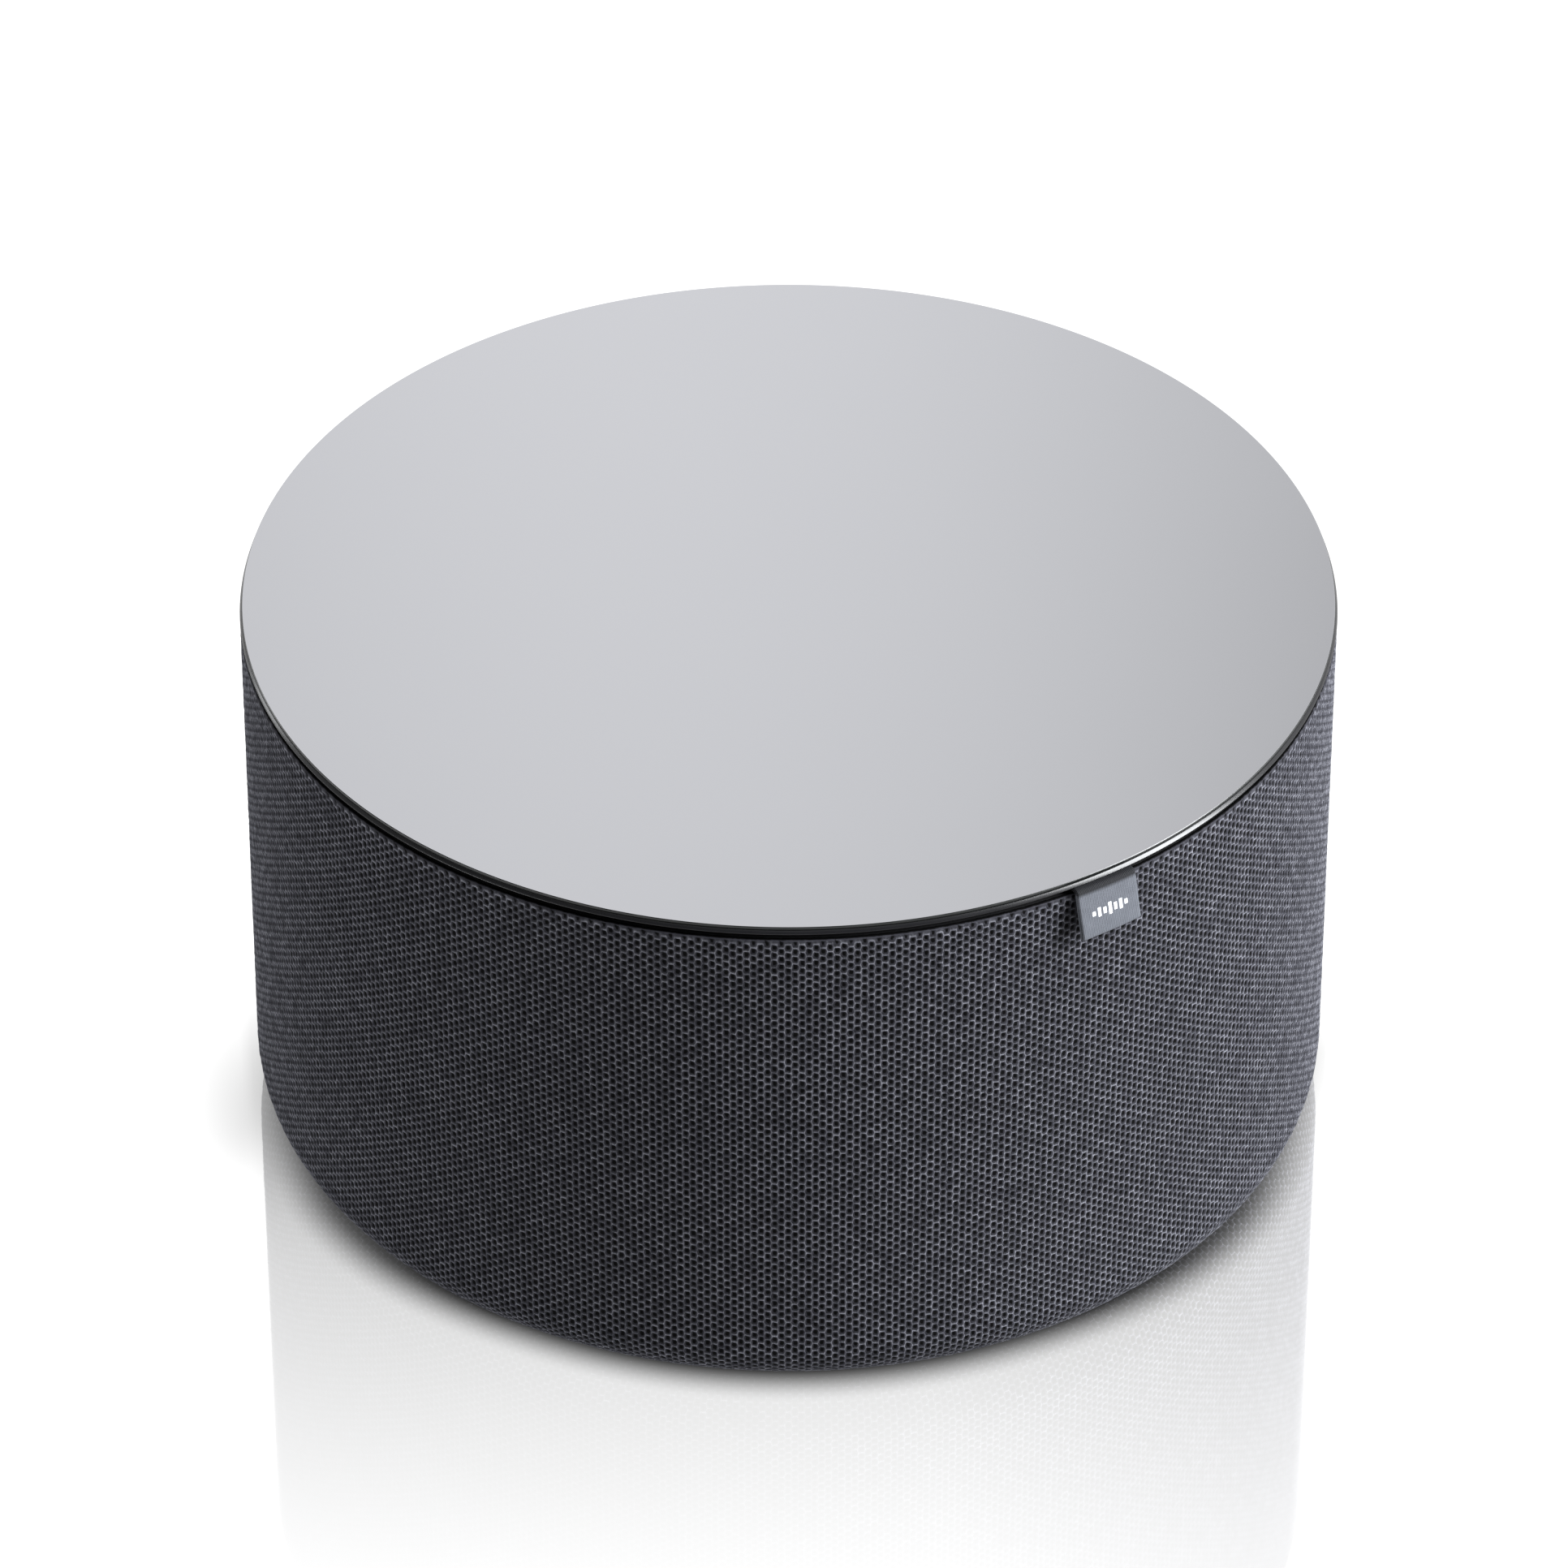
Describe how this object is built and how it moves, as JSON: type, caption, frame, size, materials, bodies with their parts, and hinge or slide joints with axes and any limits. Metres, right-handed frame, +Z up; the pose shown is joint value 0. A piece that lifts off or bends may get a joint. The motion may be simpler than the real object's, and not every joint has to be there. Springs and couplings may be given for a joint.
{
  "type": "smart home hub",
  "caption": "Low round drum hub with a mirror glass touch top, knitted mesh side rolling under at the base, loudspeakers inside and a recessed port bay at the rear.",
  "frame": {"origin": "centre of the flat bottom of the silicone foot ring, the lowest plane of the hub", "axes": "+Z up, -Y to the front, +X to the right as seen from the front; the port bay faces +Y"},
  "size_m": [0.22, 0.22, 0.1185],
  "materials": {
    "mirror_glass": "polished mirror-coated glass, pale silvery grey",
    "gloss_black": "gloss black anodised ring",
    "acoustic_fabric": "dark grey knitted acoustic mesh",
    "label_weave": "blue-grey woven loop label, plain",
    "black_plastic": "fine-textured black moulding",
    "socket_plastic": "semi-gloss black socket moulding",
    "box_plastic": "moulded speaker box",
    "silicone": "matte silicone rubber",
    "speaker_rubber": "butyl rubber roll",
    "adhesive_film": "black double-sided film",
    "touch_film": "polyimide sensor film",
    "zinc_steel": "zinc-plated steel",
    "basket_black": "black painted pressed steel",
    "driver_plastic": "glass-filled nylon",
    "ferrite": "sintered ferrite",
    "cone_paper": "coated pulp cone",
    "spider_cloth": "resin-treated cotton",
    "coil_copper": "enamelled copper on its former",
    "aluminium": "satin aluminium",
    "sink_black": "black anodised extrusion",
    "board_green": "solder-masked glass epoxy",
    "chip_black": "moulded epoxy",
    "tin_plate": "tin-plated sheet",
    "ferrite_core": "taped transformer",
    "cable_grey": "grey cable jacket",
    "gold_plate": "gold-plated contacts",
    "nickel": "nickel-plated pins"
  },
  "bodies": {
    "hub": {"base_plate": "black_plastic", "base_screws": "zinc_steel", "driver_screws": "zinc_steel", "enclosure_box": "box_plastic", "enclosure_gasket": "silicone", "enclosure_lid": "box_plastic", "ethernet_contacts": "gold_plate", "ethernet_jack": "tin_plate", "fabric_sleeve": "acoustic_fabric", "foot_ring": "silicone", "fullrange_basket_left": "driver_plastic", "fullrange_basket_right": "driver_plastic", "fullrange_motor_left": "zinc_steel", "fullrange_motor_right": "zinc_steel", "fullrange_surround_left": "speaker_rubber", "fullrange_surround_right": "speaker_rubber", "glass_adhesive_ring": "adhesive_film", "glass_top_plate": "mirror_glass", "grille_shell": "black_plastic", "heat_sink": "sink_black", "inlet_pins": "nickel", "io_board": "board_green", "io_ribbon_cable": "cable_grey", "main_board": "board_green", "main_board_chips": "chip_black", "port_panel": "black_plastic", "power_inlet": "socket_plastic", "psu_board": "board_green", "psu_capacitors": "chip_black", "psu_transformer": "ferrite_core", "radiator_frame_left": "driver_plastic", "radiator_frame_right": "driver_plastic", "radiator_surround_left": "speaker_rubber", "radiator_surround_right": "speaker_rubber", "setup_switch": "socket_plastic", "shield_can": "tin_plate", "sound_diffuser": "black_plastic", "top_frame": "black_plastic", "top_screws": "zinc_steel", "top_trim_ring": "gloss_black", "touch_ribbon_cable": "touch_film", "touch_sensor_film": "touch_film", "usb_c_port": "tin_plate", "wifi_antennas": "board_green", "woofer_basket": "basket_black", "woofer_cable": "cable_grey", "woofer_magnet": "ferrite", "woofer_pole_piece": "zinc_steel", "woofer_spider": "spider_cloth", "woofer_surround": "speaker_rubber", "woofer_top_plate": "zinc_steel", "woven_label": "label_weave"},
    "button": {"setup_button": "socket_plastic"},
    "woofer_piston": {"woofer_cone": "cone_paper", "woofer_dust_cap": "cone_paper", "woofer_voice_coil": "coil_copper"},
    "fullrange_piston_left": {"fullrange_cone_left": "aluminium"},
    "fullrange_piston_right": {"fullrange_cone_right": "aluminium"},
    "radiator_piston_left": {"radiator_plate_left": "aluminium"},
    "radiator_piston_right": {"radiator_plate_right": "aluminium"}
  },
  "joints": [
    {"name": "setup_button_press", "type": "slide", "parent": "hub", "child": "button", "axis": [0, -1, 0], "range_m": [0, 0.0008], "stiffness_N_per_m": 1500, "springref_m": -0.0004},
    {"name": "woofer_excursion", "type": "slide", "parent": "hub", "child": "woofer_piston", "axis": [0, 0, -1], "range_m": [-0.004, 0.004], "stiffness_N_per_m": 1500, "deforming": ["woofer_surround", "woofer_spider"]},
    {"name": "fullrange_excursion_left", "type": "slide", "parent": "hub", "child": "fullrange_piston_left", "axis": [-0.7818, -0.6235, 0], "range_m": [-0.0015, 0.0015], "stiffness_N_per_m": 1500, "deforming": ["fullrange_surround_left"]},
    {"name": "fullrange_excursion_right", "type": "slide", "parent": "hub", "child": "fullrange_piston_right", "axis": [0.7818, -0.6235, 0], "range_m": [-0.0015, 0.0015], "stiffness_N_per_m": 1500, "deforming": ["fullrange_surround_right"]},
    {"name": "radiator_excursion_left", "type": "slide", "parent": "hub", "child": "radiator_piston_left", "axis": [-0.9749, 0.2225, 0], "range_m": [-0.003, 0.003], "stiffness_N_per_m": 1000, "deforming": ["radiator_surround_left"]},
    {"name": "radiator_excursion_right", "type": "slide", "parent": "hub", "child": "radiator_piston_right", "axis": [0.9749, 0.2225, 0], "range_m": [-0.003, 0.003], "stiffness_N_per_m": 1000, "deforming": ["radiator_surround_right"]}
  ]
}
